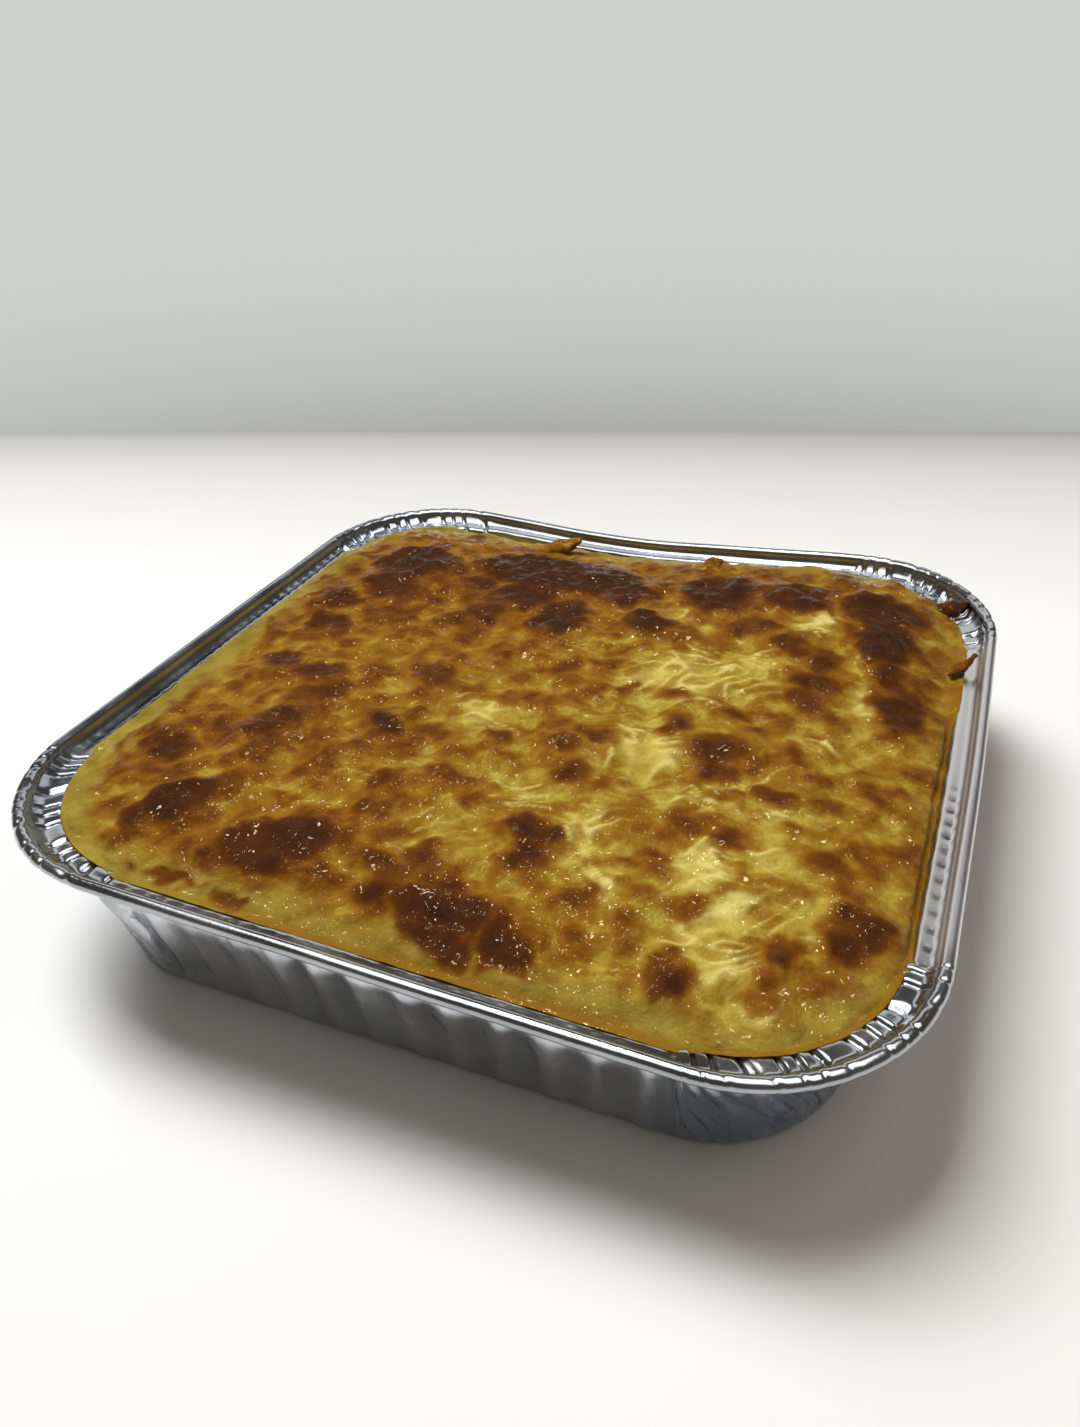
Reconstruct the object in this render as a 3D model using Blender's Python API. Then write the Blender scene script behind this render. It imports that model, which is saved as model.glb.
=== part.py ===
"""Square foil baking tray with a rolled rim, filled to the brim with a mash bake under browned cheese.

Metres, +Z up. The origin is the middle of the tray's underside, the front wall faces -Y and the right one +X.
"""

import math

import bmesh
import bpy
from mathutils import Matrix, Vector, noise

MM = 0.001

# Tray
RIM_SIDE = 208 * MM
RIM_CORNER = 41.4 * MM
CORNER_SHRINK = 0.75
FOIL = 0.35 * MM
BEAD_RADIUS = 1.55 * MM
BEAD_LEVEL = 40.15 * MM
BEAD_TURN = math.radians(315)
BEAD_STEPS = 7
FLANGE_LEVEL = 37.6 * MM
FLANGE_INSET = 7.0 * MM
GROOVE_INSET = 3.4 * MM
WALL_HEAD = (7.7 * MM, 36.1 * MM)
WALL_MIDDLE = (11.3 * MM, 20.5 * MM)
WALL_FOOT = (15.0 * MM, 3.7 * MM)
HEEL = (15.9 * MM, 0.9 * MM)
FLOOR_INSET = 18.0 * MM

# Flutes of the walls, two stations to a flute, and pleats of the corners, two stations to a pleat
SIDE_STEPS = 24
CORNER_STEPS = 16
QUARTER_STEPS = SIDE_STEPS + CORNER_STEPS
FLUTE_DEPTH = 0.75 * MM
PLEAT_DEPTH = 0.3 * MM
PLEAT_RISE = 0.25 * MM
FLUTE_UNEVEN = 0.8
FLUTE_SCALE = 0.03

# Bends that handling gave the tray: the rim's opposite corners up and down, its back edge pushed in and down,
# its right edge swollen outwards, and the front left corner of the wall pushed in at half its height.
# Places across the tray are shares of half its side.
RIM_TWIST = 2.0 * MM
BACK_DROP = 2.9 * MM
BACK_BOW = 3.0 * MM
BACK_DENT_MIDDLE = -0.1
RIGHT_BOW = 0.8 * MM
RIGHT_SWELL_MIDDLE = 0.03
BEND_LENGTH = 0.5
BEND_DEPTH = 0.35
BEND_FOOT = 1.7 * MM
CORNER_PUSH = 1.4 * MM
CORNER_MIDDLE = -0.8
CORNER_REACH = 0.3

# Bake
FOOD_GAP = 0.3 * MM
FOOD_CELLS = 34
BLOCK_FOOT = -5 * MM
MOULD_HEAD = 60 * MM
EDGE_LEVEL = 37.2 * MM
DOME_RISE = 5.4 * MM
DOME_REACH = 97 * MM
DOME_ORDER = 6
DOME_FALL = 5
LUMP_RISE = 1.1 * MM
LUMP_SIZE = 17 * MM
PEBBLE_RISE = 0.6 * MM
PEBBLE_SIZE = 8 * MM

# Where the meal is heaped or has sunk at its edge, in millimetres: middle x, middle y, reach, rise
HEAPS = (
    (-35, 94, 42, -0.8),
    (60, 92, 34, 1.9),
    (-95, 38, 30, 1.4),
)

# The oily gap along the right wall, where the cheese has shrunk from the foil
GAP_INSIDE = 91.5 * MM
GAP_OUTSIDE = 94.5 * MM
GAP_DEPTH = 2.6 * MM
GAP_MIDDLE = -18 * MM
GAP_HALF_LENGTH = 48 * MM

# Browned patches that stand up from the cheese, in millimetres and degrees:
# middle x, middle y, half length, half width, turn of the long side from +X, rise
PATCHES = (
    (-16, 60, 27, 14, 0, 1.6),
    (-66, 52, 14, 11, 30, 1.5),
    (-62, 38, 9, 7, 20, 1.1),
    (-44, 48, 8, 5, 0, 0.9),
    (-27, 36, 11, 9, 90, 1.2),
    (-9, 33, 10, 9, 90, 1.5),
    (28, 65, 12, 10, 20, 1.7),
    (49, 67, 10, 8, 0, 1.6),
    (71, 64, 12, 10, 0, 1.7),
    (76, 45, 13, 8, 100, 1.5),
    (83, 20, 14, 7, 85, 1.2),
    (16, 38, 11, 6, -5, 2.0),
    (52, 39, 6, 5, 90, 1.3),
    (60, 28, 12, 6, 80, 0.8),
    (-73, 11, 10, 5, -25, 1.3),
    (-75, 27, 10, 6, 0, 0.9),
    (-70, -13, 12, 5, -5, 1.3),
    (-34, -3, 12, 7, -20, 1.0),
    (-30, -30, 10, 6, -15, 1.6),
    (-55, -40, 12, 8, 80, 1.1),
    (-76, -54, 13, 7, -15, 1.2),
    (-61, -74, 12, 6, 55, 1.9),
    (-33, -80, 15, 7, 20, 1.8),
    (9, -86, 16, 9, -25, 1.9),
    (17, -59, 9, 6, 100, 1.7),
    (48, -17, 8, 6, 60, 1.2),
    (62, -26, 9, 4, 20, 1.0),
    (88, -60, 10, 7, 80, 1.3),
    (56, -84, 6, 4, -30, 1.7),
)

# Crust flakes that stand over the edge: foot, tip, width and thickness
FLAKES = (
    ("flake_back", (-33, 83, 37.5), (-27, 88.5, 43), 13, 5),
    ("flake_back_right", (20, 83, 38), (21, 88, 44), 12, 5),
    ("flake_right", (89.5, 40.5, 37.5), (99.8, 50.2, 43), 3.6, 1.6),
    ("flake_corner", (86, 78, 38.2), (94.2, 81.9, 42.8), 11, 3.4),
)
FLAKE_SIDES = 6
FLAKE_TIP = 0.3

FOIL_COLOUR = (0.62, 0.63, 0.65, 1)
BAKE_COLOUR = (0.42, 0.21, 0.035, 1)
PART_NAME = "foil_tray_meal"


def clear_scene():
    for old in list(bpy.data.objects):
        bpy.data.objects.remove(old, do_unlink=True)


def new_collection(name):
    collection = bpy.data.collections.new(name)
    bpy.context.scene.collection.children.link(collection)
    return collection


def new_material(name, colour, roughness, metallic):
    material = bpy.data.materials.new(name)
    material.use_nodes = True
    shader = material.node_tree.nodes["Principled BSDF"]
    shader.inputs["Base Color"].default_value = colour
    shader.inputs["Roughness"].default_value = roughness
    shader.inputs["Metallic"].default_value = metallic
    return material


def new_object(name, shape, collection):
    """An object made from a bmesh, with its faces turned outwards."""
    bmesh.ops.recalc_face_normals(shape, faces=shape.faces)
    mesh = bpy.data.meshes.new(name)
    shape.to_mesh(mesh)
    shape.free()
    made = bpy.data.objects.new(name, mesh)
    collection.objects.link(made)
    return made


def smooth_step(value, start, end):
    """0 before the start, 1 past the end, and a soft rise between them."""
    share = min(max((value - start) / (end - start), 0), 1)
    return share * share * (3 - 2 * share)


def station_point(inset, station):
    """A point of the rounded square this far inside the rim. Stations run anticlockwise from the right."""
    quarter, step = divmod(station, QUARTER_STEPS)
    radius = RIM_CORNER - CORNER_SHRINK * inset
    middle = RIM_SIDE / 2 - inset - radius
    if step < SIDE_STEPS:
        point = Vector((middle + radius, middle * (2 * step / SIDE_STEPS - 1), 0))
    else:
        angle = math.pi / 2 * (step - SIDE_STEPS) / CORNER_STEPS
        point = Vector((middle + radius * math.cos(angle), middle + radius * math.sin(angle), 0))
    return Matrix.Rotation(quarter * math.pi / 2, 3, "Z") @ point


def bend_share(along, middle, towards):
    """How much of an edge's bend reaches a point: all at the bend's middle on that edge, less farther off."""
    return math.exp(-(((along - middle) / BEND_LENGTH) ** 2) - ((towards - 1) / BEND_DEPTH) ** 2)


def handled(point):
    """Where a point of the tray went when it was bent. The floor and its rounded heel stay put."""
    across = point.x / (RIM_SIDE / 2)
    back = point.y / (RIM_SIDE / 2)
    grip = max(point.z - BEND_FOOT, 0) / (BEAD_LEVEL - BEND_FOOT)
    dent = bend_share(across, BACK_DENT_MIDDLE, back)
    swell = bend_share(back, RIGHT_SWELL_MIDDLE, across)
    lift = RIM_TWIST * across * back - BACK_DROP * dent
    corner = math.hypot(across - CORNER_MIDDLE, back - CORNER_MIDDLE) / CORNER_REACH
    belly = math.sqrt(math.sin(math.pi * min(grip, 1)))
    push = CORNER_PUSH * math.exp(-(corner**2)) * belly
    return point + Vector((push + grip * RIGHT_BOW * swell, push - grip * BACK_BOW * dent, grip * lift))


def ripple(station):
    """In and out in turn, each flute of a wall with its own depth, and the corners' pleats finer."""
    side = 1 if station % 2 else -1
    if station % QUARTER_STEPS > SIDE_STEPS:
        return side * PLEAT_DEPTH
    place = station_point(0, station) / FLUTE_SCALE
    return side * FLUTE_DEPTH * (1 + FLUTE_UNEVEN * noise.noise(place))


def pleat(station):
    """How far a station of a corner's flange stands above or below it."""
    if station % QUARTER_STEPS <= SIDE_STEPS:
        return 0
    return PLEAT_RISE if station % 2 else -PLEAT_RISE


def foil_path():
    """The underside of the foil from floor to groove: inset, level, share of a flute, share of a pleat."""
    return (
        (FLOOR_INSET, 0, 0, 0),
        (*HEEL, 0.2, 0),
        (*WALL_FOOT, 0.8, 0),
        (*WALL_MIDDLE, 1, 0),
        (*WALL_HEAD, 0.35, 0),
        (FLANGE_INSET, FLANGE_LEVEL, 0, 1),
        (GROOVE_INSET, FLANGE_LEVEL, 0, 1),
    )


def offset_path(path, distance):
    """The same path moved into the tray by a distance, with mitred bends. It starts on the flat floor."""
    moved = []
    normals = [Vector((0, 1))]
    for start, end in zip(path, path[1:]):
        run = Vector(end[:2]) - Vector(start[:2])
        normals.append(Vector((run.y, -run.x)).normalized())
    normals.append(normals[-1])
    for (inset, level, flute, fold), before, after in zip(path, normals, normals[1:]):
        normal = (before + after).normalized()
        reach = distance / normal.dot(before)
        moved.append((inset + reach * normal.x, level + reach * normal.y, flute, fold))
    return moved


def bead_path():
    """The rolled edge, from the groove over the top and round to its underside."""
    path = []
    for step in range(BEAD_STEPS + 1):
        angle = BEAD_TURN * step / BEAD_STEPS
        inset = BEAD_RADIUS * (1 + math.cos(angle))
        path.append((inset, BEAD_LEVEL + BEAD_RADIUS * math.sin(angle), 0, 0))
    return path


def add_ring(shape, inset, level, flute, fold):
    """One closed row of points around the tray."""
    ring = []
    for station in range(4 * QUARTER_STEPS):
        point = station_point(inset - flute * ripple(station), station)
        point.z = level + fold * pleat(station)
        ring.append(shape.verts.new(handled(point)))
    return ring


def join_rings(shape, rings):
    """Triangles between each row and the next, split one way, so that foil and food stay parallel."""
    for lower, upper in zip(rings, rings[1:]):
        for this, following in zip(range(len(lower)), [*range(1, len(lower)), 0]):
            shape.faces.new((lower[this], lower[following], upper[following]))
            shape.faces.new((lower[this], upper[following], upper[this]))


def close_ring(shape, ring):
    """A flat fan of triangles inside a closed row of points."""
    centre = shape.verts.new(sum((vert.co for vert in ring), Vector()) / len(ring))
    for this, following in zip(ring, [*ring[1:], ring[0]]):
        shape.faces.new((this, following, centre))


def make_tray(collection, material):
    """One sheet of foil: floor, fluted walls, flange, pleated corners and rolled edge."""
    underside = foil_path()
    section = offset_path(underside, FOIL) + bead_path() + list(reversed(underside))
    shape = bmesh.new()
    rings = [add_ring(shape, *place) for place in section]
    join_rings(shape, rings)
    close_ring(shape, rings[0])
    close_ring(shape, rings[-1])
    tray = new_object("tray", shape, collection)
    tray.data.materials.append(material)
    return tray


def make_mould(collection):
    """The hollow of the tray, a gap smaller all round and carried straight up past the rim."""
    wall = offset_path(foil_path()[:-1], FOIL + FOOD_GAP)
    top_inset = wall[-1][0]
    shape = bmesh.new()
    rings = [add_ring(shape, *place) for place in wall[:-1]]
    rings.append(add_ring(shape, top_inset, MOULD_HEAD, 0, 0))
    join_rings(shape, rings)
    close_ring(shape, rings[0])
    close_ring(shape, rings[-1])
    return new_object("mould", shape, collection)


def patch_rise(x, y):
    """How far the browned patches lift the cheese here."""
    rise = 0
    for middle_x, middle_y, half_length, half_width, turn, height in PATCHES:
        away = Matrix.Rotation(-math.radians(turn), 2) @ Vector((x / MM - middle_x, y / MM - middle_y))
        span = math.hypot(away.x / half_length, away.y / half_width)
        rise = max(rise, height * MM * (1 - smooth_step(span, 0.45, 1.25)))
    return rise


def food_top(x, y):
    """The level of the bake's top: a low dome with heaps, lumps, browned patches and the oily gap."""
    span = (abs(x) ** DOME_ORDER + abs(y) ** DOME_ORDER) ** (1 / DOME_ORDER) / DOME_REACH
    level = EDGE_LEVEL + DOME_RISE * (1 - min(span, 1) ** DOME_FALL)
    for middle_x, middle_y, reach, rise in HEAPS:
        level += rise * MM * math.exp(-((math.hypot(x / MM - middle_x, y / MM - middle_y) / reach) ** 2))
    beside = 1 - smooth_step(abs(y - GAP_MIDDLE), GAP_HALF_LENGTH / 2, GAP_HALF_LENGTH)
    level -= GAP_DEPTH * beside * smooth_step(x, GAP_INSIDE, GAP_OUTSIDE)
    level += LUMP_RISE * noise.noise(Vector((x, y, 0)) / LUMP_SIZE)
    level += PEBBLE_RISE * noise.noise(Vector((x, y, 1)) / PEBBLE_SIZE)
    return level + patch_rise(x, y)


def make_block(collection):
    """A square block of bake with its bumpy top, larger than the tray on every side."""
    shape = bmesh.new()
    bmesh.ops.create_grid(shape, x_segments=FOOD_CELLS, y_segments=FOOD_CELLS, size=RIM_SIDE / 2)
    for vert in shape.verts:
        vert.co.z = food_top(vert.co.x, vert.co.y)
        vert.co.z = handled(vert.co.copy()).z
    skirt = bmesh.ops.extrude_edge_only(shape, edges=[edge for edge in shape.edges if edge.is_boundary])
    lowered = [item for item in skirt["geom"] if isinstance(item, bmesh.types.BMVert)]
    for vert in lowered:
        vert.co.z = BLOCK_FOOT
    bmesh.ops.contextual_create(shape, geom=[edge for edge in shape.edges if edge.is_boundary])
    return new_object("bake", shape, collection)


def make_flake(name, foot, tip, width, thickness, collection):
    """A flat pointed flake of crust, from its foot in the bake to its tip."""
    start = Vector(foot) * MM
    lean = Vector(tip) * MM - start
    radius = MM / 2
    bpy.ops.mesh.primitive_cone_add(
        vertices=FLAKE_SIDES, radius1=radius, radius2=FLAKE_TIP * radius, depth=lean.length
    )
    flake = bpy.context.object
    flake.name = name
    flat = Matrix.Diagonal((width, thickness, 1, 1))
    upright = lean.to_track_quat("Z", "Y").to_matrix().to_4x4()
    flake.data.transform(Matrix.Translation(start + lean / 2) @ upright @ flat)
    for holder in list(flake.users_collection):
        holder.objects.unlink(flake)
    collection.objects.link(flake)
    return flake


def hide_cutter(cutter):
    cutter.hide_render = True
    cutter.display_type = "WIRE"


def add_boolean(target, operation, cutter):
    modifier = target.modifiers.new(cutter.name, "BOOLEAN")
    modifier.operation = operation
    modifier.object = cutter
    hide_cutter(cutter)


def make_bake(collection, cutters, material):
    """The meal as one solid: the bumpy block cut to the tray's hollow, with the crust's flakes joined on."""
    bake = make_block(collection)
    add_boolean(bake, "INTERSECT", make_mould(cutters))
    for name, foot, tip, width, thickness in FLAKES:
        add_boolean(bake, "UNION", make_flake(name, foot, tip, width, thickness, cutters))
    bake.data.materials.append(material)
    return bake


def main():
    clear_scene()
    parts = new_collection(PART_NAME)
    cutters = new_collection("cutters")
    foil = new_material("foil", FOIL_COLOUR, 0.25, 1.0)
    crust = new_material("browned_bake", BAKE_COLOUR, 0.35, 0.0)
    stand = bpy.data.objects.new(PART_NAME, None)
    parts.objects.link(stand)
    make_tray(parts, foil).parent = stand
    make_bake(parts, cutters, crust).parent = stand


main()
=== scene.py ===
"""A square foil tray filled with a mash bake under browned cheese: shapes, materials, light and camera.

Metres, +Z up. The origin is the middle of the tray's underside. The front wall faces -Y, the right one +X.
"""

import math

import bmesh
import bpy
import numpy as np
from mathutils import Matrix, Vector, noise


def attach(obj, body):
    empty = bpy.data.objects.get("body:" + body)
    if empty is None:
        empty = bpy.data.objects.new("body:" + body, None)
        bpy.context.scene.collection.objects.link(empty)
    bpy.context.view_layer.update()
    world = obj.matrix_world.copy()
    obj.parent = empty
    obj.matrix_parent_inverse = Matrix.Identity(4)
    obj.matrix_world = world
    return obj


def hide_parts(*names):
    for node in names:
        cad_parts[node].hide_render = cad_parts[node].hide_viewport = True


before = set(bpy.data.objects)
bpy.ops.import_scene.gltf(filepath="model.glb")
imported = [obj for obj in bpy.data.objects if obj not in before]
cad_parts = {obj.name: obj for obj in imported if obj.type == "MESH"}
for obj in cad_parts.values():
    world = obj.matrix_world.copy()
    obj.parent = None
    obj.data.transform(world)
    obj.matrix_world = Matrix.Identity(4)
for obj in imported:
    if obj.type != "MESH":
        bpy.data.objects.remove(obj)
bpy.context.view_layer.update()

MM = 0.001

# Tray, as the solid has it
RIM_SIDE = 208 * MM
RIM_CORNER = 41.4 * MM
CORNER_SHRINK = 0.75
FOIL = 0.35 * MM
BEAD_RADIUS = 1.55 * MM
BEAD_LEVEL = 40.15 * MM
BEAD_TURN = math.radians(315)
FLANGE_LEVEL = 37.6 * MM
FLANGE_INSET = 7.0 * MM
GROOVE_INSET = 3.4 * MM
WALL_HEAD = (7.7 * MM, 36.1 * MM)
WALL_MIDDLE = (11.3 * MM, 20.5 * MM)
WALL_FOOT = (15.0 * MM, 3.7 * MM)
HEEL = (15.9 * MM, 0.9 * MM)
FLOOR_INSET = 18.0 * MM
SIDE_STEPS = 24
CORNER_STEPS = 16
QUARTER_STEPS = SIDE_STEPS + CORNER_STEPS
FLUTE_DEPTH = 0.75 * MM
FLUTE_UNEVEN = 0.8
FLUTE_SCALE = 0.03

# Bends that handling gave the tray, as the solid has them
RIM_TWIST = 2.0 * MM
BACK_DROP = 2.9 * MM
BACK_BOW = 3.0 * MM
BACK_DENT_MIDDLE = -0.1
RIGHT_BOW = 0.8 * MM
RIGHT_SWELL_MIDDLE = 0.03
BEND_LENGTH = 0.5
BEND_DEPTH = 0.35
BEND_FOOT = 1.7 * MM
CORNER_PUSH = 1.4 * MM
CORNER_MIDDLE = -0.8
CORNER_REACH = 0.3

# Finer steps of the foil: stations to a step of the solid, and points along its section
SIDE_FINE_STEPS = 6
CORNER_FINE_STEPS = 12
BEAD_STEPS = 16
BEND_STEPS = 2
BEND_REACH = 1.3 * MM
WALL_SPACING = 1.6 * MM
WALL_CUT = (1 * MM, 37 * MM)
FLANGE_SPACING = 0.5 * MM
FLANGE_CUT = (36.5 * MM, BEAD_LEVEL)

# Sides of the tray in the order of the stations, and faces of its sheet
RIGHT, BACK, LEFT, FRONT = range(4)
INNER_FACE, EDGE_FACE, OUTER_FACE = 1, 0, -1

# Foil pressed by the mould and by hands. A pair says where a form begins and where it is full.
CORNER_PLEATS = 12
CORNER_SPREAD = 1.5 * MM
PLEAT_RISE = 0.6 * MM
PLEAT_SLOT = 0.12
PLEAT_LEAN = 14 * MM
PLEAT_UNEVEN = 0.3
PLEAT_TILT = 1.8
PLEAT_SLOT_DEPTH = 1.5
PLEAT_ON_WALL = (24 * MM, 36 * MM)
PLEAT_ON_FLANGE = (33 * MM, 37.4 * MM)
STATION_LENGTH = 4.75 * MM
STREAK_START = 60
STREAK_LEAN = 0.9
STREAK_STRETCH = 0.22
WALL_BEGINS = (1.5 * MM, 8 * MM)
WALL_ENDS = (32 * MM, 35.5 * MM)
CREASE_DEPTH = 0.35 * MM
CREASE_SIZE = 7 * MM
WALL_DENT_SIZE = 9 * MM
WALL_DENT_SHARE = 1.2
CORNER_CREASE_DEPTH = 1.0 * MM
CORNER_CREASE_SIZE = 4 * MM
CORNER_WRINKLE_SIZE = 1.8 * MM
CORNER_WRINKLE_SHARE = 0.4
CRIMP_DEPTH = 0.12 * MM
CRIMP_SIZE = 2.6 * MM
CRIMP_GRAIN = 1.3 * MM
CRIMP_GRAIN_SHARE = 0.35
CRIMP_ON_SIDES = 0.02 * MM
GROOVE_FILL = 0.7 * MM
GROOVE_FILL_WIDTH = 1.2 * MM
CORNER_FILL = 0.9 * MM
RIM_WAVE = 0.24 * MM
RIM_WAVE_SIZE = 26 * MM
FLUTE_LEVELS = (0.9 * MM, 3.7 * MM, 20.5 * MM, 36.1 * MM, 37.6 * MM)
FLUTE_SHARES = (0.2, 0.9, 1.3, 0.3, 0)
BULGE_LEVELS = (2 * MM, 10 * MM, 20 * MM, 27 * MM, 33.5 * MM, 35.5 * MM)
BULGE_OUTWARD = (0, 0.4 * MM, 0.9 * MM, 1.15 * MM, -0.4 * MM, 0)
DENT_MIDDLE = 4 * MM
DENT_LENGTH = 15 * MM
DENT_LEVEL = 31 * MM
DENT_HEIGHT = 2.2 * MM
DENT_DEPTH = 0.9 * MM
DIMPLE_SPACING = 4.8 * MM
DIMPLE_DEPTH = 0.17 * MM
DIMPLE_LENGTH = 1.2 * MM
DIMPLE_WIDTH = 1.05 * MM
DIMPLE_INSET = 5.1 * MM
DIMPLE_SLANT = 0.35
DIMPLE_DRIFT = 0.25
DIMPLE_DRIFT_LENGTH = 17 * MM
DIMPLE_SIDE_PHASE = 0.37
DIMPLES_CLOSER_LEFT = 0.14
DIMPLES_CLOSER_FRONT = 0.08
DIMPLES_FAINTER_BACK = 0.7
DIMPLES_STOP = (-7 * MM, -2 * MM)

# Rubbed streaks on the foil's outside, rougher and painted lighter as highlights; its satin right flange,
# painted lighter as a sheen; and places with painted cool shade and reflection
RIB_SHINE = 0.7
STREAK_SHINE = (1.5, 2)
STREAK_SIZE = 4 * MM
SCRATCH_SHINE = (0.8, 2)
SCRATCH_SIZE = 1.6 * MM
SHINE_SPREAD = (-1.2, 2.2)
SHINE_LEVELS = (2 * MM, 34 * MM)
SHINE_SHARE = 0.8
SATIN_SHEEN_ENDS = (55 * MM, 70 * MM)
SATIN_SHEEN_SHARE = 0.6
# Painted cool shade on the lower front-right wall, and painted cool reflection on the left rim
PAINTED_SHADE_WALL = (45 * MM, 80 * MM)
PAINTED_SHADE_WALL_LEVELS = (20 * MM, 36 * MM)
PAINTED_REFLECTION_RIM = (85 * MM, 99 * MM)
PAINTED_REFLECTION_RIM_SHARE = 0.35

# Bake, as the solid has it
EDGE_LEVEL = 37.2 * MM
DOME_RISE = 5.4 * MM
DOME_REACH = 97 * MM
DOME_ORDER = 6
DOME_FALL = 5
LUMP_RISE = 1.1 * MM
LUMP_SIZE = 17 * MM
PEBBLE_RISE = 0.6 * MM
PEBBLE_SIZE = 8 * MM
# Wide heaps and hollows of the top, in millimetres: middle x, middle y, reach and rise
HEAPS = (
    (-35, 94, 42, -0.8),
    (60, 92, 34, 1.9),
    (-95, 38, 30, 1.4),
)
GAP_INSIDE = 94.9 * MM
GAP_OUTSIDE = 96.6 * MM
GAP_DEPTH = 1.2 * MM
GAP_MIDDLE = -18 * MM
GAP_HALF_LENGTH = 48 * MM

# Fine grid of the bake's top, and the line where it meets the foil
FOOD_CELL = 0.68 * MM
FOOD_INSET = 6.8 * MM
EDGE_LEVELS = (20 * MM, 36.1 * MM, 37.1 * MM, 37.75 * MM)
EDGE_INSETS = (11.5 * MM, 7.9 * MM, 7.5 * MM, 6.8 * MM)
LIP_LEVEL = 38.0 * MM
RIGHT_LIP_LEVEL = 36.2 * MM
BACK_LIP_LEVEL = 35.3 * MM
SKIRT = ((11.4 * MM, 31 * MM), (15.2 * MM, 14 * MM), (18.6 * MM, 3 * MM))
CORNER_FOOD = (60 * MM, 66 * MM)
EDGE_TUCK = (-4 * MM, 0)

# Where each change along the bake's edge and top begins and where it is full
BACK_EDGE = (70 * MM, 88 * MM)
BACK_EDGE_LEFT_END = (-75 * MM, -60 * MM)
BACK_EDGE_RISE = (5 * MM, 20 * MM)
RIGHT_EDGE = (70 * MM, 88 * MM)
LIP_SHARE = (-3.2 * MM, 0)
RELIEF_SHARE = (0.5 * MM, 4 * MM)
PLAIN_MARGIN = (-11 * MM, -3 * MM)
OILY_EDGE = (-4.2 * MM, -1.2 * MM)
OILY_SIDES = (20 * MM, 90 * MM)
WARMER_LEFT = (-40 * MM, 60 * MM)
WARMER_BACK = (-10 * MM, 60 * MM)
RIGHT_PART = (60 * MM, 85 * MM)
RIGHT_PART_FRONT = (-80 * MM, -60 * MM)

# Gold of the unbrowned cheese: its tone, and how far each thing darkens or lightens it
GOLD_TONE = 0.275
LEFT_WARMTH = 0.06
BACK_WARMTH = 0.05
CLOUD_SIZE = 24 * MM
CLOUD_SPREAD = (-0.5, 0.7)
CLOUD_TONE = 0.29
PALE_TONE = 0.28
STRAND_TONE = 0.12
MARGIN_TONE = 0.25

# How browned a place is where plain mash and cream give way to crust, and where cream begins
MASH_ENDS = (0.42, 0.58)
CREAM_ENDS = (0.25, 0.45)
CREAM_SPREAD = (0.5, 1.25)

# Ragged outlines of the patches, and their soft edges in millimetres, from inside to outside
RAGGED_SIZES = (8 * MM, 3.4 * MM)
RAGGED_REACHES = (3.2 * MM, 2.0 * MM)
BROWN_FADE = (-5, 5.5)
HALO_FADE = (-3, 6)
PALE_FADE = (-6, 8)

# Relief of the bake's top: sizes of its lumps, and how far each kind rises
SOFT_LUMP_SIZE = 7 * MM
SOFT_LUMP_RISE = 0.8 * MM
KNOB_SIZE = 3.6 * MM
KNOB_RISE = 0.6 * MM
CURD_SIZES = (4.8 * MM, 2.6 * MM)
CURD_RISE = 0.5 * MM
STRAND_SIZE = 3.6 * MM
STRAND_RISE = 0.25 * MM
STRAND_FLOW_SIZE = 16 * MM
STRAND_FLOW = 14 * MM
BLISTER_SHARE = 0.75

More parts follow.
